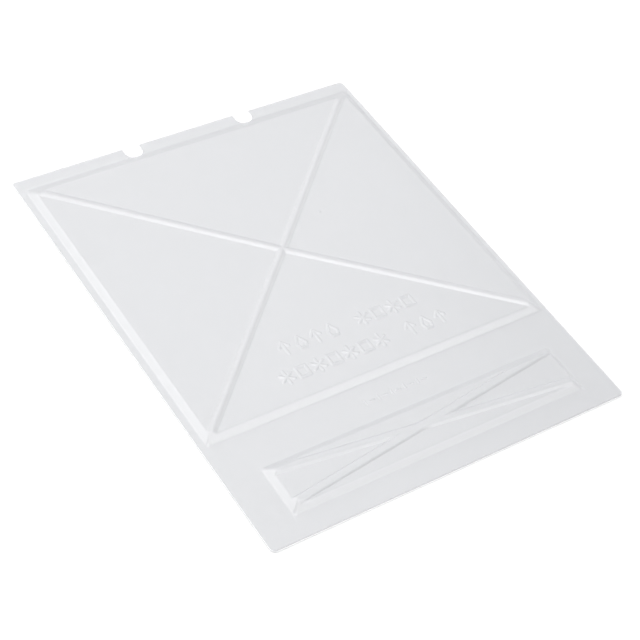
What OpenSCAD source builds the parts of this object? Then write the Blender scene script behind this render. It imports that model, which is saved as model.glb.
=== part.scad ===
// Splash curtain for the evaporator of an ice-cube machine: one thin sheet of clear
// plastic, formed over a mould and trimmed. It has a flat flange all round, a large
// raised main panel, a long raised lower panel, a diagonal cross of round ribs on each
// panel, and two U-shaped notches in the edge that it hangs by.
//
// Units are millimetres. The sheet rests on its flange: z = 0 is the flange's underside,
// +Z is the raised side, +Y points to the notched edge, and the origin is the middle of
// the sheet's outline.

/* [Sheet] */
// Width of the trimmed sheet, along X
sheet_w = 406.4; // [380:0.1:440]
// Length of the trimmed sheet, along Y
sheet_l = 508; // [490:0.5:560]
// Thickness of the formed sheet, measured straight down
sheet_t = 1; // [0.6:0.1:2]
// Corner radius at the lower edge
lower_corner_r = 6.4; // [1:0.1:12]
// Corner radius at the notched edge
upper_corner_r = 4; // [1:0.1:5]

/* [Panels] */
// Rise of both panels above the flange
panel_rise = 5.1; // [4:0.1:9]
// How far a sloped wall leans in over that rise
wall_run = 6.2; // [3:0.1:10]
// Flange left of the main panel
main_left = 7.5; // [5:0.5:14]
// Flange right of the main panel
main_right = 6; // [5:0.5:14]
// Flange above the main panel
main_upper = 18.5; // [18.5:0.5:24]
// Distance from the lower edge to the main panel
main_lower = 126; // [110:0.5:160]
// Flange left of the lower panel
low_left = 38.1; // [20:0.1:60]
// Flange right of the lower panel
low_right = 33.4; // [20:0.1:60]
// Distance from the lower edge to the lower panel
low_lower = 25.4; // [15:0.1:30]
// Length of the lower panel along Y, foot to foot
low_span = 57.4; // [45:0.1:70]

/* [Ribs] */
// Width of a rib at its foot
rib_w = 9.8; // [6:0.1:14]
// Height of a rib above its panel
rib_rise = 2.3; // [1:0.1:3]
// How far the lower panel's ribs end from its corners, along the side walls
low_rib_inset = 3.5; // [0:0.1:8]
// How far the main panel's rib ends from the upper right corner, along the upper wall
main_rib_inset = 4.9; // [0:0.1:8]

/* [Notches] */
// Distance from the left edge to the left notch's centre line
notch_x = 136.7; // [100:0.1:150]
// Distance between the two notches' centre lines
notch_pitch = 135.6; // [100:0.1:150]
// Width of a notch
notch_w = 19; // [12:0.1:24]
// Depth of a notch from the sheet's edge to its round bottom
notch_depth = 16.5; // [12:0.1:17]

/* [Raised marks] */
// Height of the marks above the surface
mark_rise = 0.7; // [0.3:0.1:0.8]
// Width of a large mark's stroke
mark_stroke = 2.5; // [1.2:0.1:3]
// Height of a large mark
mark_h = 17.5; // [12:0.5:20]
// Distance between neighbouring large marks
mark_pitch = 18.1; // [15:0.1:20]
// Distance from the lower edge to the base of the upper row of large marks
upper_row_base = 184.6; // [184:0.1:188]
// Distance from the lower edge to the base of the lower row of large marks
lower_row_base = 152.4; // [150:0.1:156]
// Middle of the large rows along X, from the sheet's middle
large_row_x = 2.3; // [-10:0.1:10]
// Height of a small mark
small_mark_h = 6.9; // [5:0.1:8]
// Distance between neighbouring small marks
small_mark_pitch = 7.6; // [6:0.1:9]
// Width of a small mark's stroke
small_mark_stroke = 1.5; // [0.8:0.1:2]
// Distance from the lower edge to the base of the small row
small_row_base = 101.6; // [95:0.1:108]
// Middle of the small row along X, from the sheet's middle
small_row_x = -0.3; // [-10:0.1:10]

/* [Hidden] */

$fn = 64;
eps = 0.01;
clear = 1;                          // how far a cutting shape runs past what it cuts

sheet_color = [0.9, 0.91, 0.93, 0.6];

left_x = -sheet_w / 2;              // the sheet's left edge
low_y = -sheet_l / 2;               // the sheet's lower edge
wall_slope = wall_run / panel_rise; // how far a wall leans for each millimetre of rise
crest_z = sheet_t + panel_rise;     // the panels' upper face

// A panel is the rectangle that its walls stand on: [left, lower, right, upper]
main_panel = [left_x + main_left, low_y + main_lower, -left_x - main_right, -low_y - main_upper];
low_panel = [left_x + low_left, low_y + low_lower, -left_x - low_right, low_y + low_lower + low_span];

// The crest is the rectangle on top of a panel's walls
function crest(panel) = [
    panel[0] + wall_run,
    panel[1] + wall_run,
    panel[2] - wall_run,
    panel[3] - wall_run
];

main_crest = crest(main_panel);
low_crest = crest(low_panel);

// A rib's centre line is its two end points
main_ribs = [
    [[main_crest[0], main_crest[3]], [main_crest[2], main_crest[1]]],
    [[main_crest[0], main_crest[1]], [main_crest[2] - main_rib_inset, main_crest[3]]]
];
low_ribs = [
    [[low_crest[0], low_crest[3] - low_rib_inset], [low_crest[2], low_crest[1] + low_rib_inset]],
    [[low_crest[0], low_crest[1] + low_rib_inset], [low_crest[2], low_crest[3]]]
];

// The radius of the arc that is rib_w wide and rib_rise high
rib_r = (rib_w * rib_w / 4 + rib_rise * rib_rise) / (2 * rib_rise);

notch_r = notch_w / 2;
notch_xs = [left_x + notch_x, left_x + notch_x + notch_pitch];

// The marks stand in rows. A row is [middle x, base y, surface z, height, pitch, stroke,
// kinds], and a space keeps one place free.
mark_rows = [
    [large_row_x, low_y + upper_row_base, crest_z, mark_h, mark_pitch, mark_stroke,
        ["arrow", "drop", "arrow", "drop", "space", "flake", "cube", "flake", "cube"]],
    [large_row_x, low_y + lower_row_base, crest_z, mark_h, mark_pitch, mark_stroke,
        ["flake", "cube", "flake", "cube", "flake", "cube", "flake", "space", "arrow", "drop", "arrow"]],
    [small_row_x, low_y + small_row_base, sheet_t, small_mark_h, small_mark_pitch, small_mark_stroke,
        ["bar", "dash", "bar", "dash", "bar", "dash", "bar", "dash", "bar", "dash"]]
];

// The strokes of each kind of mark, as points in shares of the mark's height. Straight
// strokes join each point to the next one.
arrow_lines = [[[0, 0.05], [0, 0.95]], [[-0.3, 0.6], [0, 0.95], [0.3, 0.6]]];
cube_lines = [[[-0.32, 0.15], [0.32, 0.15], [0.32, 0.85], [-0.32, 0.85], [-0.32, 0.15]]];
flake_lines = [[[0, 0.05], [0, 0.95]], [[-0.36, 0.27], [0.36, 0.73]], [[-0.36, 0.73], [0.36, 0.27]]];
drop_lines = [[[0, 0.95], [0.3, 0.42], [0.18, 0.1], [-0.18, 0.1], [-0.3, 0.42], [0, 0.95]]];
bar_lines = [[[0, 0.1], [0, 0.9]]];
dash_lines = [[[-0.3, 0.5], [0.3, 0.5]]];

// The sheet's outline, with the two notches cut from its upper edge
module outline() {
    difference() {
        union() {
            for (side = [-1, 1]) {
                translate([side * (sheet_w / 2 - lower_corner_r), low_y + lower_corner_r])
                    circle(r = lower_corner_r);
                translate([side * (sheet_w / 2 - upper_corner_r), -low_y - upper_corner_r])
                    circle(r = upper_corner_r);
            }
            translate([left_x, low_y + lower_corner_r])
                square([sheet_w, sheet_l - lower_corner_r - upper_corner_r]);
            translate([left_x + lower_corner_r, low_y])
                square([sheet_w - 2 * lower_corner_r, lower_corner_r + eps]);
            translate([left_x + upper_corner_r, -low_y - upper_corner_r - eps])
                square([sheet_w - 2 * upper_corner_r, upper_corner_r + eps]);
        }
        for (x = notch_xs)
            notch(x);
    }
}

// One U-shaped notch
module notch(x) {
    translate([x, -low_y - notch_depth + notch_r])
        circle(r = notch_r);
    translate([x - notch_r, -low_y - notch_depth + notch_r])
        square([notch_w, notch_depth]);
}

// A block between two sloped walls that face along X. The walls stand on low and high at
// the flange, the block rises by rise, and it runs from near to far along Y.
module sloped_block(low, high, near, far, rise) {
    lean = wall_slope * clear;
    translate([0, far, sheet_t])
        rotate([90, 0, 0])
            linear_extrude(height = far - near)
                polygon([
                    [low - lean, -clear],
                    [high + lean, -clear],
                    [high - wall_slope * rise, rise],
                    [low + wall_slope * rise, rise]
                ]);
}

// A raised block with four sloped walls, which run on below the flange's upper face
module raised_block(panel, rise) {
    lean = wall_slope * clear;
    intersection() {
        sloped_block(panel[0], panel[2], panel[1] - lean - clear, panel[3] + lean + clear, rise);
        rotate([0, 0, 90])
            sloped_block(panel[1], panel[3], -panel[2] - lean - clear, -panel[0] + lean + clear, rise);
    }
}

// A round-topped bar along a rib's centre line, longer than the rib at both ends
module rib_bar(from, to) {
    run = to - from;
    overrun = rib_w;
    translate([from[0], from[1], crest_z + rib_rise - rib_r])
        rotate([0, 0, atan2(run[1], run[0])])
            translate([-overrun, 0, 0])
                rotate([90, 0, 90])
                    linear_extrude(height = norm(run) + 2 * overrun)
                        circle(r = rib_r);
}

// A panel's full form: the raised block, and its ribs cut off by the walls' own slopes
module panel_form(panel, ribs) {
    raised_block(panel, panel_rise);
    intersection() {
        raised_block(panel, panel_rise + rib_rise + clear);
        union() {
            for (rib = ribs)
                rib_bar(rib[0], rib[1]);
        }
    }
}

module forms() {
    panel_form(main_panel, main_ribs);
    panel_form(low_panel, low_ribs);
}

// A straight stroke of a mark, between two points given as shares of the mark's height
module stroke(from, to, height, width) {
    run = (to - from) * height;
    translate(from * height)
        rotate([0, 0, atan2(run[1], run[0])])
            translate([-width / 2, -width / 2])
                square([norm(run) + width, width]);
}

// One generic mark, drawn about x = 0 with its base at y = 0
module mark(kind, height, width) {
    lines =
        kind == "arrow" ? arrow_lines :
        kind == "cube" ? cube_lines :
        kind == "flake" ? flake_lines :
        kind == "drop" ? drop_lines :
        kind == "bar" ? bar_lines :
        kind == "dash" ? dash_lines :
        [];
    for (points = lines)
        for (i = [1 : len(points) - 1])
            stroke(points[i - 1], points[i], height, width);
}

// One row of marks, standing on the surface that the row names
module mark_row(row) {
    kinds = row[6];
    width = row[5];
    pitch = row[4];
    height = row[3];
    for (place = [0 : len(kinds) - 1])
        translate([row[0] + (place - (len(kinds) - 1) / 2) * pitch, row[1], row[2] - sheet_t / 2])
            linear_extrude(height = sheet_t / 2 + mark_rise)
                mark(kinds[place], height, width);
}

// The whole formed sheet
module curtain() {
    color(sheet_color) {
        difference() {
            union() {
                linear_extrude(height = sheet_t)
                    outline();
                forms();
            }
            translate([0, 0, -sheet_t])
                forms();
        }
        for (row = mark_rows)
            mark_row(row);
    }
}

curtain();
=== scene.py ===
import math

import bpy
import numpy as np
from mathutils import Matrix, Vector
from mathutils.geometry import delaunay_2d_cdt
from mathutils.kdtree import KDTree


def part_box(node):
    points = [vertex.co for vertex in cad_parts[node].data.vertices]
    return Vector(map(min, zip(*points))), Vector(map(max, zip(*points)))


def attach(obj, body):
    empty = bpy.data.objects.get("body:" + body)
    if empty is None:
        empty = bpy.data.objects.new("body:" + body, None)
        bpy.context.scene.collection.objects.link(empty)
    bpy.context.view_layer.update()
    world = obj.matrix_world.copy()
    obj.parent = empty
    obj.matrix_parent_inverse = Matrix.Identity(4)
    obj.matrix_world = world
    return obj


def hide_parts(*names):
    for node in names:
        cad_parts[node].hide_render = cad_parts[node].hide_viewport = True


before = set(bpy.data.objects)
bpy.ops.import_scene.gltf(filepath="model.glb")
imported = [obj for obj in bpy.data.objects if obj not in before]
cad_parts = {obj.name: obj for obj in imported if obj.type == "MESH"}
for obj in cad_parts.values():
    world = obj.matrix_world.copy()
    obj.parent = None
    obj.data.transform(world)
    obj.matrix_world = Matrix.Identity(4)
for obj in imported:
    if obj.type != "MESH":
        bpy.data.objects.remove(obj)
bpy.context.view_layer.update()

# The sheet is made in millimetres, in the CAD frame, and scaled to metres at the end.
# Left is -X, right is +X, lower is -Y and upper is +Y.
MM = 0.001
box_lo, box_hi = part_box("curtain")
HALF_W = (box_hi[0] - box_lo[0]) / 2 / MM
HALF_L = (box_hi[1] - box_lo[1]) / 2 / MM
THICK = 1.0

# Outline: the corners' radii, the notches' middles along X, their radius and depth, and the
# radius of their mouths' corners; then how the cut edge is rounded and how far apart its
# points are
CORNER_LOWER = 6.4
CORNER_UPPER_LEFT = 3.2
CORNER_UPPER_RIGHT = 5.0
NOTCH_X = (-66.5, 69.1)
NOTCH_R = 9.5
NOTCH_DEPTH = 16.5
NOTCH_MOUTH_R = 0.8
EDGE_ROUND = 0.4
EDGE_STEPS = 3
EDGE_SPACING = 4.0
NOTCH_SIDE_SPACING = 2.0

# Along the lower edge a thin darker line is painted into the base colour: painted shade that stands
# in for the cut's shadow seen through the sheet. The stops are the distance from the edge and how
# much of the painted shade shows there.
PAINTED_LINE_REACH = 4.0
PAINTED_LINE_STOPS = ((0.6, 0), (1.4, 1), (2.2, 0))
# How dark the painted shade of the line is, as a share of the base colour
PAINTED_LINE_SHADE = 0.70

# Panels: the left, lower, right and upper foot of the walls, how high a panel rises, how far
# a wall leans over that rise, and how rounded its foot, its crest and its corners are
MAIN = (-HALF_W + 7.5, -HALF_L + 126.0, HALF_W - 6.0, HALF_L - 18.5)
LOW = (-HALF_W + 38.1, -HALF_L + 25.4, HALF_W - 33.4, -HALF_L + 82.8)
RISE = 5.1
RUN = 6.2
FOOT_SOFT = 1.1
CREST_SOFT = 1.0
CORNER_SOFT = 3.0

# Some walls are more or less steep than the rest: where each wall's foot is, and how far
# the wall leans, in the same order
MAIN_FEET = (MAIN[0], MAIN[1], HALF_W - 5.5, HALF_L - 15.5)
MAIN_RUNS = (RUN, RUN, 7.5, 10.5)
LOW_FEET = (LOW[0], LOW[1], LOW[2], LOW[3] + 0.3)
LOW_RUNS = (RUN, 5.6, RUN, 6.8)

# Ribs: half the width, the rise, how soft the foot is, and how far from a panel's corner
# some ribs end
RIB_HALF = 4.9
RIB_RISE = 2.15
RIB_SOFT = 0.7
LOW_INSET = 3.5
MAIN_INSET = 4.9

# How softly the main panel's ribs blend where they cross: softly low down in the valleys
# between them, and hardly at all on their tops
VALLEY_BLEND = 0.9
TOP_BLEND = 0.02

# The lower panel's ribs are flat on top and steep at the sides. The second rib is the
# steeper one. The soft values are shares of a side, and the top's is in millimetres.
LOW_RIB_RUNS = (2.3, 1.65)
LOW_RIB_SOFT = 0.15
LOW_TIP_SOFT = 0.7
LOW_TOP_SOFT = 0.7

# The main panel sinks a little towards the crossing of its ribs
SAG = 3.0
SAG_BLEND = 0.10
SAG_SOFT = 0.01

# The sheet isn't quite flat: three long waves, between 0 and 0.2 mm in all
WAVE_MIDDLE = 0.1
WAVE_HEIGHT = 0.05

# One small pip on the main panel
PIP_AT = (63.5, 84.0)
PIP_R = 1.2
PIP_RISE = 0.4

# Raised marks: the rise, half a stroke's width, how soft its side is, how far round a stroke
# its height is worked out, and how much of the rise the underside follows
MARK_RISE = 0.7
MARK_HALF = 1.25
MARK_EDGE = 0.85
MARK_REACH = 3.0
MARK_UNDER = 0.8

# How far to each side of a point the heights are taken that its slope comes from
SLOPE_STEP = 0.04


def ramp(x, soft):
    """0 below -soft, x above soft, and a parabola that joins them."""
    return np.where(x <= -soft, 0.0, np.where(x >= soft, x, (x + soft) ** 2 / (4 * soft)))


def smooth_min(a, b, k):
    """The smaller of two values, blended where they differ by less than k."""
    h = np.maximum(0.0, 1.0 - np.abs(a - b) / k)
    return np.minimum(a, b) - h * h * k / 4


def smooth_max(a, b, k):
    return -smooth_min(-a, -b, k)


def crest(panel):
    return (panel[0] + RUN, panel[1] + RUN, panel[2] - RUN, panel[3] - RUN)


MAIN_CREST = crest(MAIN)
LOW_CREST = crest(LOW)
MAIN_RIBS = (
    ((MAIN_CREST[0], MAIN_CREST[3]), (MAIN_CREST[2], MAIN_CREST[1])),
    ((MAIN_CREST[0], MAIN_CREST[1]), (MAIN_CREST[2] - MAIN_INSET, MAIN_CREST[3])),
)
LOW_RIBS = (
    ((LOW_CREST[0], LOW_CREST[3] - LOW_INSET), (LOW_CREST[2], LOW_CREST[1] + LOW_INSET)),
    ((LOW_CREST[0], LOW_CREST[1] + LOW_INSET), (LOW_CREST[2], LOW_CREST[3])),
)


def crossing(ribs):
    """The point where two ribs' centre lines cross."""
    (a, b), (c, d) = np.array(ribs)
    u = b - a
    v = d - c
    w = c - a
    s = (w[0] * v[1] - w[1] * v[0]) / (u[0] * v[1] - u[1] * v[0])
    return a + s * u


MAIN_CROSS = crossing(MAIN_RIBS)
LOW_CROSS = crossing(LOW_RIBS)


def offset_from(rib, x, y):
    """Signed distance from a rib's centre line."""
    (x0, y0), (x1, y1) = rib
    run = math.hypot(x1 - x0, y1 - y0)
    return ((x - x0) * (y1 - y0) - (y - y0) * (x1 - x0)) / run


def rib_height(rib, x, y):
    """A round-topped rib of the main panel."""
    s = offset_from(rib, x, y) / RIB_HALF
    return smooth_max(np.zeros_like(s), RIB_RISE * (1 - s * s), RIB_SOFT)


def ribs_height(ribs, x, y):
    """Two crossing ribs of the main panel, with a soft valley where they meet."""
    a = rib_height(ribs[0], x, y)
    b = rib_height(ribs[1], x, y)
    top = np.clip(np.maximum(a, b) / RIB_RISE, 0, 1)
    return smooth_max(a, b, TOP_BLEND + VALLEY_BLEND * (1 - top))


def low_ribs_height(x, y):
    """The lower panel's two flat-topped ribs."""
    from_a = (RIB_HALF - np.abs(offset_from(LOW_RIBS[0], x, y))) / LOW_RIB_RUNS[0]
    from_b = (RIB_HALF - np.abs(offset_from(LOW_RIBS[1], x, y))) / LOW_RIB_RUNS[1]
    side = smooth_max(from_a, from_b, LOW_TIP_SOFT)
    full = np.full_like(side, RIB_RISE)
    return smooth_min(RIB_RISE * ramp(side, LOW_RIB_SOFT), full, LOW_TOP_SOFT)


def inward(feet, runs, x, y):
    """Distance inside a panel's foot line, scaled so that every wall leans by RUN."""
    left, lower, right, upper = (RUN / run for run in runs)
    across = smooth_min((x - feet[0]) * left, (feet[2] - x) * right, CORNER_SOFT)
    along = smooth_min((y - feet[1]) * lower, (feet[3] - y) * upper, CORNER_SOFT)
    return smooth_min(across, along, CORNER_SOFT)


def sag(x, y):
    """How far the main panel sinks: a shallow pyramid that points down at the crossing."""
    left, lower, right, upper = MAIN_CREST
    cx, cy = MAIN_CROSS
    across = smooth_min((x - left) / (cx - left), (right - x) / (right - cx), SAG_BLEND)
    along = smooth_min((y - lower) / (cy - lower), (upper - y) / (upper - cy), SAG_BLEND)
    return SAG * ramp(smooth_min(across, along, SAG_BLEND), SAG_SOFT)


# Marks: the lines of each kind as points in shares of the mark's height. A straight stroke
# joins each point to the next one.
STROKES = {
    "arrow": (((0, 0.05), (0, 0.95)), ((-0.3, 0.6), (0, 0.95)), ((0.3, 0.6), (0, 0.95))),
    "cube": (((-0.32, 0.15), (0.32, 0.15), (0.32, 0.85), (-0.32, 0.85), (-0.32, 0.15)),),
    "flake": (((0, 0.05), (0, 0.95)), ((-0.36, 0.27), (0.36, 0.73)), ((-0.36, 0.73), (0.36, 0.27))),
    "drop": (((0, 0.95), (0.3, 0.42), (0.18, 0.1), (-0.18, 0.1), (-0.3, 0.42), (0, 0.95)),),
    "bar": (((0, 0.1), (0, 0.9)),),
    "dash": (((-0.3, 0.5), (0.3, 0.5)),),
    "space": (),
}
MARK_H = 17.5
MARK_PITCH = 18.1
SMALL_H = 6.9
SMALL_PITCH = SMALL_H * 1.1

# The rows: middle along X, base along Y, a mark's height, the distance between two marks,
# the share of the full stroke's width, and the kinds from left to right
ROWS = (
    (2.3, -HALF_L + 184.6, MARK_H, MARK_PITCH, 1.0,
     "arrow drop arrow drop space flake cube flake cube"),
    (2.3, -HALF_L + 152.4, MARK_H, MARK_PITCH, 1.0,
     "flake cube flake cube flake cube flake space arrow drop arrow"),
    (-0.3, -HALF_L + 101.6, SMALL_H, SMALL_PITCH, 0.6, " ".join(["bar", "dash"] * 5)),
)


def all_strokes():
    """Every stroke as (ax, ay, bx, by, share of the full stroke width)."""
    found = []
    for middle, base, height, pitch, share, kinds in ROWS:
        kinds = kinds.split()
        for place, kind in enumerate(kinds):
            x = middle + (place - (len(kinds) - 1) / 2) * pitch
            for line_points in STROKES[kind]:
                placed = [(x + px * height, base + py * height) for px, py in line_points]
                for start, end in zip(placed, placed[1:]):
                    found.append((*start, *end, share))
    return found


MARKS = all_strokes()


def mark_height(x, y):
    """How far the marks stand out."""
    out = np.zeros_like(x)
    for ax, ay, bx, by, share in MARKS:
        near = (
            (x > min(ax, bx) - MARK_REACH) & (x < max(ax, bx) + MARK_REACH)
            & (y > min(ay, by) - MARK_REACH) & (y < max(ay, by) + MARK_REACH)
        )
        if not near.any():
            continue
        px = x[near] - ax
        py = y[near] - ay
        ux = bx - ax
        uy = by - ay
        t = np.clip((px * ux + py * uy) / (ux * ux + uy * uy), 0, 1)
        d = np.hypot(px - t * ux, py - t * uy)
        edge = MARK_EDGE * share
        h = np.clip(0.5 + (MARK_HALF * share - d) / (2 * edge), 0, 1)
        h = h * h * (3 - 2 * h) * MARK_RISE
        out[near] = np.maximum(out[near], h)
    return out


def wave(x, y):
    """How far the sheet is off flat."""
    w = (
        np.sin(x / 61.0 + 0.8) * np.cos(y / 83.0 - 0.4)
        + 0.6 * np.sin((x + 1.4 * y) / 97.0 + 2.1)
        + 0.4 * np.cos((1.3 * x - y) / 53.0 + 0.3)
    )
    return WAVE_MIDDLE + WAVE_HEIGHT * w


def base_height(x, y):
    """Upper face without the marks."""
    z = wave(x, y)
    main = smooth_min(
        RISE / RUN * ramp(inward(MAIN_FEET, MAIN_RUNS, x, y), FOOT_SOFT),
        RISE - sag(x, y) + ribs_height(MAIN_RIBS, x, y),
        CREST_SOFT,
    )
    low = smooth_min(
        RISE / RUN * ramp(inward(LOW_FEET, LOW_RUNS, x, y), FOOT_SOFT),
        RISE + low_ribs_height(x, y),
        CREST_SOFT,
    )
    pip = PIP_RISE * np.exp(-((x - PIP_AT[0]) ** 2 + (y - PIP_AT[1]) ** 2) / PIP_R ** 2)
    return z + np.maximum(main, 0) + np.maximum(low, 0) + pip


def top_height(x, y):
    """Upper face, with the marks."""
    return THICK + base_height(x, y) + mark_height(x, y)


def under_height(x, y):
    """Underside, which follows the upper face as a formed sheet does."""
    return base_height(x, y) + MARK_UNDER * mark_height(x, y)


def normals_of(height, x, y):
    """Upward normals of a height field."""
    d = SLOPE_STEP
    gx = (height(x + d, y) - height(x - d, y)) / (2 * d)
    gy = (height(x, y + d) - height(x, y - d)) / (2 * d)
    n = np.stack([-gx, -gy, np.ones_like(gx)], axis=1)
    return n / np.linalg.norm(n, axis=1)[:, None]


# ---- outline -------------------------------------------------------------------------


def arc(cx, cy, r, start, end, steps, side=1):
    """Points on an arc, with their outward normals.

    side is -1 where the sheet lies outside the arc."""
    points = []
    for i in range(steps + 1):
        angle = math.radians(start + (end - start) * i / steps)
        nx = math.cos(angle)
        ny = math.sin(angle)
        points.append((cx + r * nx, cy + r * ny, side * nx, side * ny))
    return points


def line(x0, y0, x1, y1, nx, ny, spacing=EDGE_SPACING):
    """Points between the ends of a straight edge, with the edge's outward normal."""
    n = max(2, round(math.hypot(x1 - x0, y1 - y0) / spacing))
    return [(x0 + (x1 - x0) * i / n, y0 + (y1 - y0) * i / n, nx, ny) for i in range(1, n)]


def outline():
    """The sheet's outline, counter-clockwise from the lower left corner."""
    w = HALF_W
    l = HALF_L
    r = CORNER_LOWER
    tl = CORNER_UPPER_LEFT
    tr = CORNER_UPPER_RIGHT
    m = NOTCH_MOUTH_R
    path = arc(-w + r, -l + r, r, 180, 270, 14)
    path += line(-w + r, -l, w - r, -l, 0, -1)
    path += arc(w - r, -l + r, r, 270, 360, 14)
    path += line(w, -l + r, w, l - tr, 1, 0)
    path += arc(w - tr, l - tr, tr, 0, 90, 12)
    x = w - tr
    for cx in sorted(NOTCH_X, reverse=True):
        right = cx + NOTCH_R
        left = cx - NOTCH_R
        floor_y = l - NOTCH_DEPTH + NOTCH_R
        path += line(x, l, right + m, l, 0, 1)
        path += arc(right + m, l - m, m, 90, 180, 5)
        path += line(right, l - m, right, floor_y, -1, 0, NOTCH_SIDE_SPACING)
        path += arc(cx, floor_y, NOTCH_R, 0, -180, 36, -1)
        path += line(left, floor_y, left, l - m, 1, 0, NOTCH_SIDE_SPACING)
        path += arc(left - m, l - m, m, 0, 90, 5)
        x = left - m
    path += line(x, l, -w + tl, l, 0, 1)
    path += arc(-w + tl, l - tl, tl, 90, 180, 10)
    path += line(-w, l - tl, -w, -l + r, -1, 0)
    return np.array(path)


OUTLINE = outline()

# The corners: the side along X, the side along Y, and the radius
CORNERS = (
    (-1, -1, CORNER_LOWER),
    (1, -1, CORNER_LOWER),
    (-1, 1, CORNER_UPPER_LEFT),
    (1, 1, CORNER_UPPER_RIGHT),
)


def inside(x, y, margin):
    """True where a point is on the sheet and more than the margin away from its edge."""
    ok = (HALF_W - np.abs(x) > margin) & (HALF_L - np.abs(y) > margin)
    for cx in NOTCH_X:
        cy = HALF_L - NOTCH_DEPTH + NOTCH_R
        d = np.hypot(x - cx, np.minimum(y - cy, 0.0))
        ok &= d > NOTCH_R + margin
    for sx, sy, r in CORNERS:
        px = np.maximum(sx * x - (HALF_W - r), 0)
        py = np.maximum(sy * y - (HALF_L - r), 0)
        ok &= np.hypot(px, py) < r - margin
    return ok


# ---- where the points of the mesh go ---------------------------------------------------

# The rows of points along a wall, as distances in from its foot when it leans by RUN
WALL_ROWS = (
    -2.2, -1.5, -1.0, -0.5, 0.0, 0.5, 1.1, 2.1, 3.2,
    4.3, 5.1, 5.6, 6.1, 6.6, 7.1, 7.7, 8.6,
)

# The rows of points along a rib, as distances from its centre line
RIB_ROWS = (-6.6, -5.6, -4.9, -4.2, -3.3, -2.2, -1.1, 0.0, 1.1, 2.2, 3.3, 4.2, 4.9, 5.6, 6.6)
LOW_RIB_ROWS = (
    -6.4, -5.3, -4.9, -4.4, -3.9, -3.4, -2.8, -2.1, 0.0,
    2.1, 2.8, 3.4, 3.9, 4.4, 4.9, 5.3, 6.4,
)
RIB_ROW_START = 5.4  # how far in from a wall's foot a rib's rows start

# The rows of points along a mark's stroke, and the small patch round each of its ends
MARK_ROWS = (-2.2, -1.65, -1.1, -0.5, 0.0, 0.5, 1.1, 1.65, 2.2)
MARK_ENDS = (-2.1, -1.5, -0.8)
MARK_END_ROWS = (-1.0, 0.0, 1.0)
MARK_SPACING = 1.6

# Patches of close points at the ribs' ends, the main panel's crossing and the pip: the
# radius, the distance between points, and the closest that they may come to earlier ones
TIP_PATCH = (10.0, 0.85, 0.6)
CROSS_PATCH = (12.0, 1.0, 0.6)
PIP_PATCH = (4.0, 0.6, 0.5)

# The patch over the lower panel's crossing: half its length, how far its long sides are
# from the panel's, and the distance between points along X and Y
LOW_PATCH_HALF = 52
LOW_PATCH_IN = 18.5
LOW_PATCH_PITCH = (1.5, 0.5)

# The plain grid that fills the rest: how far it stays from the edge, and its pitch
FILL_IN = 6
FILL_PITCH = 10.0
RIM_GAP = 0.7  # the closest that a row or a grid comes to the edge
MERGE = 1e-6  # points closer than this are one point
CUT_EDGE_SLOT = 1  # the cut edge has the sheet's second material


def grid(x0, x1, y0, y1, dx, dy):
    """Points on a rectangular grid."""
    xs = np.arange(x0, x1 + dx / 2, dx)
    ys = np.arange(y0, y1 + dy / 2, dy)
    gx, gy = np.meshgrid(xs, ys)
    return np.stack([gx.ravel(), gy.ravel()], axis=1)


def disc(cx, cy, radius, spacing):
    """Points of a grid that lie in a disc."""
    p = grid(cx - radius, cx + radius, cy - radius, cy + radius, spacing, spacing)
    return p[np.hypot(p[:, 0] - cx, p[:, 1] - cy) < radius]


def wall_rows(feet, runs, spacing):
    """Rows of points along the four walls of a panel."""
    points = []
    left, lower, right, upper = feet
    for d in WALL_ROWS:
        x0 = left + d * runs[0] / RUN
        y0 = lower + d * runs[1] / RUN
        x1 = right - d * runs[2] / RUN
        y1 = upper - d * runs[3] / RUN
        nx = round((right - left) / spacing)
        ny = round((upper - lower) / spacing)
        for i in range(1, nx):
            x = left + (right - left) * i / nx
            if x0 <= x <= x1:
                points += [(x, y0), (x, y1)]
        for i in range(1, ny):
            y = lower + (upper - lower) * i / ny
            if y0 <= y <= y1:
                points += [(x0, y), (x1, y)]
    return np.array(points)


def rib_rows(ribs, rows, feet, runs, spacing):
    """Rows of points along a panel's ribs, inside its walls."""
    points = []
    for (x0, y0), (x1, y1) in ribs:
        run = math.hypot(x1 - x0, y1 - y0)
        ux = (x1 - x0) / run
        uy = (y1 - y0) / run
        n = round(run / spacing)
        for i in range(n + 1):
            s = run * i / n
            for d in rows:
                points.append((x0 + ux * s - uy * d, y0 + uy * s + ux * d))
    points = np.array(points)
    return points[inward(feet, runs, points[:, 0], points[:, 1]) > RIB_ROW_START]


def mark_rows():
    """Rows of points along the strokes of every mark."""
    points = []
    for ax, ay, bx, by, share in MARKS:
        run = math.hypot(bx - ax, by - ay)
        ux = (bx - ax) / run
        uy = (by - ay) / run
        n = max(1, round(run / MARK_SPACING))
        for i in range(n + 1):
            s = run * i / n
            for d in MARK_ROWS:
                d *= share
                points.append((ax + ux * s - uy * d, ay + uy * s + ux * d))
        for s in MARK_ENDS:
            along_x = ux * s * share
            along_y = uy * s * share
            for d in MARK_END_ROWS:
                across_x = uy * d * share
                across_y = ux * d * share
                points.append((ax + along_x - across_x, ay + along_y + across_y))
                points.append((bx - along_x - across_x, by - along_y + across_y))
    return np.array(points)


def thin_self(points, gap):
    """Drop points that come within gap of an earlier one of the same set."""
    kept = {}
    out = []
    for x, y in points:
        i = int(math.floor(x / gap))
        j = int(math.floor(y / gap))
        clash = False
        for di in (-1, 0, 1):
            for dj in (-1, 0, 1):
                for qx, qy in kept.get((i + di, j + dj), ()):
                    if (qx - x) ** 2 + (qy - y) ** 2 < gap * gap:
                        clash = True
        if not clash:
            kept.setdefault((i, j), []).append((x, y))
            out.append((x, y))
    return np.array(out)


def clear_of(points, others, gap):
    """Drop points that come within gap of the others."""
    tree = KDTree(len(others))
    for i, (x, y) in enumerate(others):
        tree.insert((x, y, 0.0), i)
    tree.balance()
    keep = [tree.find((x, y, 0.0))[2] >= gap for x, y in points]
    return points[np.array(keep)]


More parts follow.
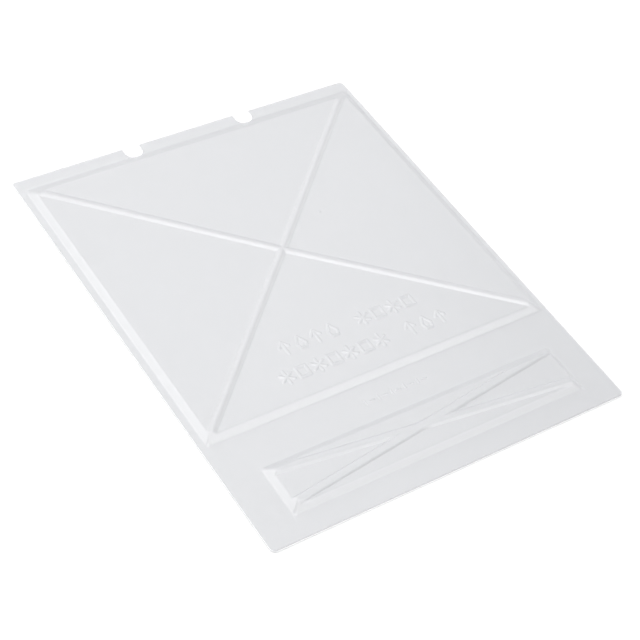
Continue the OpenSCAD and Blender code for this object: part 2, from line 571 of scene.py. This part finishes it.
def low_patch():
    """Close points over the crossing of the lower panel's ribs."""
    return grid(
        LOW_CROSS[0] - LOW_PATCH_HALF, LOW_CROSS[0] + LOW_PATCH_HALF,
        LOW[1] + LOW_PATCH_IN, LOW[3] - LOW_PATCH_IN,
        *LOW_PATCH_PITCH,
    )


def fill():
    """The plain grid over the whole sheet."""
    x = HALF_W - FILL_IN
    y = HALF_L - FILL_IN
    return grid(-x, x, -y, y, FILL_PITCH, FILL_PITCH)


def plan_points():
    """Every point of the sheet seen from above, with the outline's first, and their number."""
    rim = OUTLINE[:, :2] - OUTLINE[:, 2:] * EDGE_ROUND
    points = rim
    radius, spacing, gap = TIP_PATCH
    for rib in MAIN_RIBS + LOW_RIBS:
        for cx, cy in rib:
            patch = clear_of(disc(cx, cy, radius, spacing), points, gap)
            points = np.concatenate([points, patch])
    # The points of each set, the gap to the sets before it, and the gap within the set
    sets = (
        (disc(*MAIN_CROSS, *CROSS_PATCH[:2]), CROSS_PATCH[2], 0),
        (low_patch(), 0.4, 0),
        (disc(*PIP_AT, *PIP_PATCH[:2]), PIP_PATCH[2], 0),
        (wall_rows(MAIN_FEET, MAIN_RUNS, spacing=4.0), 0.55, 0),
        (wall_rows(LOW_FEET, LOW_RUNS, spacing=3.0), 0.55, 0),
        (rib_rows(MAIN_RIBS, RIB_ROWS, MAIN_FEET, MAIN_RUNS, spacing=3.0), 0.7, 0.6),
        (rib_rows(LOW_RIBS, LOW_RIB_ROWS, LOW_FEET, LOW_RUNS, spacing=2.0), 0.4, 0.35),
        (mark_rows(), 0.6, 0.35),
        (fill(), 5.0, 0),
    )
    for new, gap, self_gap in sets:
        if self_gap:
            new = thin_self(new, self_gap)
        new = new[inside(new[:, 0], new[:, 1], RIM_GAP)]
        new = clear_of(new, points, gap)
        points = np.concatenate([points, new])
    return points, len(rim)


def within(x, y, loop):
    """True where a point lies inside the closed loop."""
    odd = np.zeros(len(x), dtype=bool)
    for (ax, ay), (bx, by) in zip(loop, np.roll(loop, -1, axis=0)):
        if ay == by:
            continue
        spans = (ay > y) != (by > y)
        odd ^= spans & (x < ax + (y - ay) * (bx - ax) / (by - ay))
    return odd


def plan_triangles():
    """The sheet seen from above: points, triangles that face up, and the outline's ring."""
    points, rim = plan_points()
    coords = [Vector(p) for p in points]
    bound = [list(range(rim))]
    verts, _, faces, origin, _, _ = delaunay_2d_cdt(coords, [], bound, 1, MERGE, True)
    plan = np.array([tuple(v) for v in verts])
    faces = np.array(faces)
    middle = plan[faces].mean(axis=1)
    faces = faces[within(middle[:, 0], middle[:, 1], points[:rim])]
    triangles = []
    for a, b, c in faces.tolist():
        ab = plan[b] - plan[a]
        ac = plan[c] - plan[a]
        faces_down = ab[0] * ac[1] - ab[1] * ac[0] < 0
        triangles.append((a, c, b) if faces_down else (a, b, c))
    place = {}
    for i, sources in enumerate(origin):
        for source in sources:
            if source < rim:
                place[source] = i
    return plan, triangles, [place[i] for i in range(rim)]


def edge_rings(height, sign):
    """Rings of points on the rounding between a face and the cut edge, with their normals."""
    outwards = np.stack([OUTLINE[:, 2], OUTLINE[:, 3], np.zeros(len(OUTLINE))], axis=1)
    up = np.array([0.0, 0.0, 1.0])
    places = []
    slopes = []
    for step in range(1, EDGE_STEPS + 1):
        angle = math.pi / 2 * step / EDGE_STEPS
        back = EDGE_ROUND * (1 - math.sin(angle))
        x = OUTLINE[:, 0] - OUTLINE[:, 2] * back
        y = OUTLINE[:, 1] - OUTLINE[:, 3] * back
        z = height(x, y) - sign * EDGE_ROUND * (1 - math.cos(angle))
        places.append(np.stack([x, y, z], axis=1))
        slopes.append(outwards * math.sin(angle) + sign * up * math.cos(angle))
    return places, slopes


def build_sheet():
    """The whole sheet as one closed mesh: the upper face, the underside and the cut edge."""
    plan, triangles, ring = plan_triangles()
    count = len(plan)
    rim = len(ring)
    x = plan[:, 0]
    y = plan[:, 1]
    top = np.stack([x, y, top_height(x, y)], axis=1)
    under = np.stack([x, y, under_height(x, y)], axis=1)
    top_edge, top_edge_slopes = edge_rings(top_height, 1)
    under_edge, under_edge_slopes = edge_rings(under_height, -1)
    places = np.concatenate([top, under, *top_edge, *under_edge]) * MM
    slopes = np.concatenate([
        normals_of(top_height, x, y), -normals_of(under_height, x, y),
        *top_edge_slopes, *under_edge_slopes,
    ])

    polygons = list(triangles)
    polygons += [(a + count, c + count, b + count) for a, b, c in triangles]
    first_edge = len(polygons)
    rounds = [[2 * count + k * rim + i for i in range(rim)] for k in range(2 * EDGE_STEPS)]
    upper = [ring] + rounds[:EDGE_STEPS]
    lower = [[count + i for i in ring]] + rounds[EDGE_STEPS:]
    rings = upper + lower[::-1]
    for above, below in zip(rings, rings[1:]):
        for i in range(rim):
            j = (i + 1) % rim
            polygons.append((above[j], above[i], below[i], below[j]))

    mesh = bpy.data.meshes.new("curtain_sheet")
    mesh.from_pydata([tuple(p) for p in places.tolist()], [], polygons)
    mesh.polygons.foreach_set("use_smooth", [True] * len(polygons))
    material = np.zeros(len(polygons), dtype=np.int32)
    material[first_edge:] = CUT_EDGE_SLOT
    mesh.polygons.foreach_set("material_index", material)
    mesh.update()
    mesh.normals_split_custom_set_from_vertices([tuple(n) for n in slopes.tolist()])
    return mesh


# ---- materials -------------------------------------------------------------------------

# How much of the light a surface mirrors where it is seen edge-on
GRAZING_SHINE = 0.14

# Noise: the scale and the detail of the soft clouds in the plastic, and of its fine peel
CLOUD = (14.0, 3.0)
PEEL = (220.0, 2.0)
NOISE_LOW = 0.3  # most of a noise lies between these two
NOISE_HIGH = 0.7
PEEL_STRENGTH = 0.25
PEEL_DEPTH = 0.00012
SHADE_SPREAD = 0.01
ROUGHNESS_SPREAD = 0.03


def node(tree, kind, **settings):
    """A new node with these settings."""
    made = tree.nodes.new(kind)
    for key, value in settings.items():
        setattr(made, key, value)
    return made


def sheet_material(name, haze, tint, base, roughness, shine):
    """Clear plastic: mostly see-through, a little milky, with a soft shine on top, and painted
    shade in a thin darker line along the lower edge.
    """
    mat = bpy.data.materials.new(name)
    mat.use_nodes = True
    tree = mat.node_tree
    tree.nodes.clear()
    out = node(tree, "ShaderNodeOutputMaterial")
    milky = node(tree, "ShaderNodeMixShader")
    coat = node(tree, "ShaderNodeMixShader")
    clear = node(tree, "ShaderNodeBsdfTransparent")
    clear.inputs["Color"].default_value = (*tint, 1)
    solid = node(tree, "ShaderNodeBsdfPrincipled")
    solid.inputs["Roughness"].default_value = 0.5
    solid.inputs["Specular IOR Level"].default_value = 0.0
    gloss = node(tree, "ShaderNodeBsdfGlossy")
    gloss.inputs["Color"].default_value = (1, 1, 1, 1)
    where = node(tree, "ShaderNodeTexCoord")

    def noise(scale, detail):
        made = node(tree, "ShaderNodeTexNoise")
        made.inputs["Scale"].default_value = scale
        made.inputs["Detail"].default_value = detail
        tree.links.new(where.outputs["Object"], made.inputs["Vector"])
        return made.outputs["Fac"]

    def spread(source, middle, share):
        """Turn a noise into a value within this share of the middle one."""
        made = node(tree, "ShaderNodeMapRange")
        made.inputs["From Min"].default_value = NOISE_LOW
        made.inputs["From Max"].default_value = NOISE_HIGH
        made.inputs["To Min"].default_value = middle * (1 - share)
        made.inputs["To Max"].default_value = middle * (1 + share)
        tree.links.new(source, made.inputs["Value"])
        return made.outputs["Result"]

    cloud = noise(*CLOUD)
    peel = noise(*PEEL)
    shade = node(tree, "ShaderNodeMix", data_type="RGBA")
    shade.inputs["A"].default_value = (*[c * (1 - SHADE_SPREAD) for c in base], 1)
    shade.inputs["B"].default_value = (*base, 1)
    tree.links.new(cloud, shade.inputs["Factor"])

    # Painted shade: the thin darker line along the lower edge, painted into the base colour for the
    # cut's shadow seen through the sheet
    split = node(tree, "ShaderNodeSeparateXYZ")
    tree.links.new(where.outputs["Object"], split.inputs["Vector"])
    from_cut = node(tree, "ShaderNodeMapRange")
    from_cut.inputs["From Min"].default_value = -HALF_L * MM
    from_cut.inputs["From Max"].default_value = (-HALF_L + PAINTED_LINE_REACH) * MM
    tree.links.new(split.outputs["Y"], from_cut.inputs["Value"])
    painted_line_mask = node(tree, "ShaderNodeValToRGB")
    stops = painted_line_mask.color_ramp.elements
    stops.remove(stops[0])
    stops[0].position = 1.0
    stops[0].color = (0, 0, 0, 1)
    for at, level in PAINTED_LINE_STOPS:
        stops.new(at / PAINTED_LINE_REACH).color = (level, level, level, 1)
    tree.links.new(from_cut.outputs["Result"], painted_line_mask.inputs["Fac"])
    painted_line = node(tree, "ShaderNodeMix", data_type="RGBA")
    painted_line.inputs["B"].default_value = (*[c * PAINTED_LINE_SHADE for c in base], 1)
    tree.links.new(painted_line_mask.outputs["Color"], painted_line.inputs["Factor"])
    tree.links.new(shade.outputs["Result"], painted_line.inputs["A"])
    tree.links.new(painted_line.outputs["Result"], solid.inputs["Base Color"])

    gloss_roughness = spread(cloud, roughness, ROUGHNESS_SPREAD)
    tree.links.new(gloss_roughness, gloss.inputs["Roughness"])
    bump = node(tree, "ShaderNodeBump")
    bump.inputs["Strength"].default_value = PEEL_STRENGTH
    bump.inputs["Distance"].default_value = PEEL_DEPTH
    tree.links.new(peel, bump.inputs["Height"])
    tree.links.new(bump.outputs["Normal"], solid.inputs["Normal"])
    tree.links.new(bump.outputs["Normal"], gloss.inputs["Normal"])
    tree.links.new(spread(cloud, haze, SHADE_SPREAD), milky.inputs["Fac"])
    tree.links.new(clear.outputs["BSDF"], milky.inputs[1])
    tree.links.new(solid.outputs["BSDF"], milky.inputs[2])

    # The mirrored share grows towards grazing angles as the fifth power
    facing = node(tree, "ShaderNodeLayerWeight")
    facing.inputs["Blend"].default_value = 0.5
    grazing = node(tree, "ShaderNodeMath", operation="POWER")
    grazing.inputs[1].default_value = 5.0
    tree.links.new(facing.outputs["Facing"], grazing.inputs[0])
    mirror = node(tree, "ShaderNodeMapRange")
    mirror.inputs["To Min"].default_value = shine
    mirror.inputs["To Max"].default_value = GRAZING_SHINE
    tree.links.new(grazing.outputs["Value"], mirror.inputs["Value"])
    tree.links.new(mirror.outputs["Result"], coat.inputs["Fac"])
    tree.links.new(milky.outputs["Shader"], coat.inputs[1])
    tree.links.new(gloss.outputs["BSDF"], coat.inputs[2])
    tree.links.new(coat.outputs["Shader"], out.inputs["Surface"])
    return mat


def floor_material():
    """A plain pale floor with a very faint mottle."""
    mat = bpy.data.materials.new("pale_floor")
    mat.use_nodes = True
    tree = mat.node_tree
    solid = tree.nodes["Principled BSDF"]
    solid.inputs["Roughness"].default_value = 0.9
    solid.inputs["Specular IOR Level"].default_value = 0.0
    mottle = node(tree, "ShaderNodeTexNoise")
    mottle.inputs["Scale"].default_value = 3.0
    shade = node(tree, "ShaderNodeMix", data_type="RGBA")
    shade.inputs["A"].default_value = (0.73, 0.73, 0.73, 1)
    shade.inputs["B"].default_value = (0.75, 0.75, 0.75, 1)
    tree.links.new(mottle.outputs["Fac"], shade.inputs["Factor"])
    tree.links.new(shade.outputs["Result"], solid.inputs["Base Color"])
    return mat


clear_plastic = sheet_material(
    "clear_plastic",
    haze=0.28,
    tint=(0.968, 0.970, 0.974),
    base=(0.640, 0.646, 0.662),
    roughness=0.285,
    shine=0.075,
)
cut_edge = sheet_material(
    "cut_edge",
    haze=0.75,
    tint=(0.97, 0.975, 0.98),
    base=(0.95, 0.955, 0.965),
    roughness=0.3,
    shine=0.05,
)

# ---- the piece -------------------------------------------------------------------------

sheet = bpy.data.objects.new("curtain_sheet", build_sheet())
bpy.context.scene.collection.objects.link(sheet)
sheet.data.materials.append(clear_plastic)
sheet.data.materials.append(cut_edge)
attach(sheet, "root")
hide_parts("curtain")

# ---- floor, light and camera -----------------------------------------------------------

FLOOR_HALF = 12.0
FLOOR_Z = -0.0003
floor_corners = [
    (side_x * FLOOR_HALF, side_y * FLOOR_HALF, FLOOR_Z)
    for side_x, side_y in ((-1, -1), (1, -1), (1, 1), (-1, 1))
]
floor_mesh = bpy.data.meshes.new("floor")
floor_mesh.from_pydata(floor_corners, [], [(0, 1, 2, 3)])
floor = bpy.data.objects.new("floor", floor_mesh)
floor.data.materials.append(floor_material())
bpy.context.scene.collection.objects.link(floor)

WORLD_STRENGTH = 0.45
world = bpy.data.worlds.new("studio")
world.use_nodes = True
background = world.node_tree.nodes["Background"]
background.inputs["Color"].default_value = (1, 1, 1, 1)
background.inputs["Strength"].default_value = WORLD_STRENGTH
bpy.context.scene.world = world


def softbox(name, direction, distance, size, radiance):
    """A softbox that faces the sheet's middle. radiance is how bright it looks."""
    data = bpy.data.lights.new(name, "AREA")
    data.shape = "RECTANGLE"
    data.size, data.size_y = size
    data.energy = radiance * math.pi * size[0] * size[1]
    box = bpy.data.objects.new(name, data)
    towards = Vector(direction).normalized()
    box.location = towards * distance
    box.rotation_mode = "QUATERNION"
    box.rotation_quaternion = towards.to_track_quat("Z", "Y")
    bpy.context.scene.collection.objects.link(box)


# Name, direction from the sheet, distance, width and height, and radiance
SOFTBOXES = (
    ("overhead", (-0.12, -0.10, 1.0), 2.3, (1.7, 1.9), 3.0),
    ("back", (0.115, 0.660, 0.742), 3.2, (3.5, 2.4), 1.00),
    ("back_low", (0.10, 0.92, 0.375), 3.2, (1.8, 0.9), 1.9),
    ("left", (-0.603, 0.524, 0.602), 3.0, (2.0, 1.8), 2.9),
    ("front", (0.320, -0.670, 0.669), 3.0, (2.0, 1.8), 2.45),
    ("right_low", (0.930, 0.100, 0.350), 3.0, (2.1, 1.2), 1.3),
    ("right_back", (0.739, 0.537, 0.407), 3.0, (0.7, 0.7), 1.2),
)
for settings in SOFTBOXES:
    softbox(*settings)

# The camera stands in front of the lower left corner and looks down at the sheet
CAMERA_AT = (-0.773751, -0.890575, 1.215009)
AZIMUTH = math.radians(-41.723)
ELEVATION = math.radians(46.859)
ROLL = math.radians(12.039)
LENS = 95.62
SENSOR_WIDTH = 36.0

camera_data = bpy.data.cameras.new("camera")
camera_data.sensor_width = SENSOR_WIDTH
camera_data.lens = LENS
camera_data.clip_start = 0.05
camera_data.clip_end = 60.0
camera = bpy.data.objects.new("camera", camera_data)
turn = Matrix.Rotation(AZIMUTH, 3, "Z")
tilt = Matrix.Rotation(math.pi / 2 - ELEVATION, 3, "X")
roll = Matrix.Rotation(ROLL, 3, "Z")
aim = turn @ tilt @ roll
camera.location = CAMERA_AT
camera.rotation_mode = "QUATERNION"
camera.rotation_quaternion = aim.to_quaternion()
bpy.context.scene.collection.objects.link(camera)
bpy.context.scene.camera = camera
bpy.context.scene.view_settings.view_transform = "Standard"
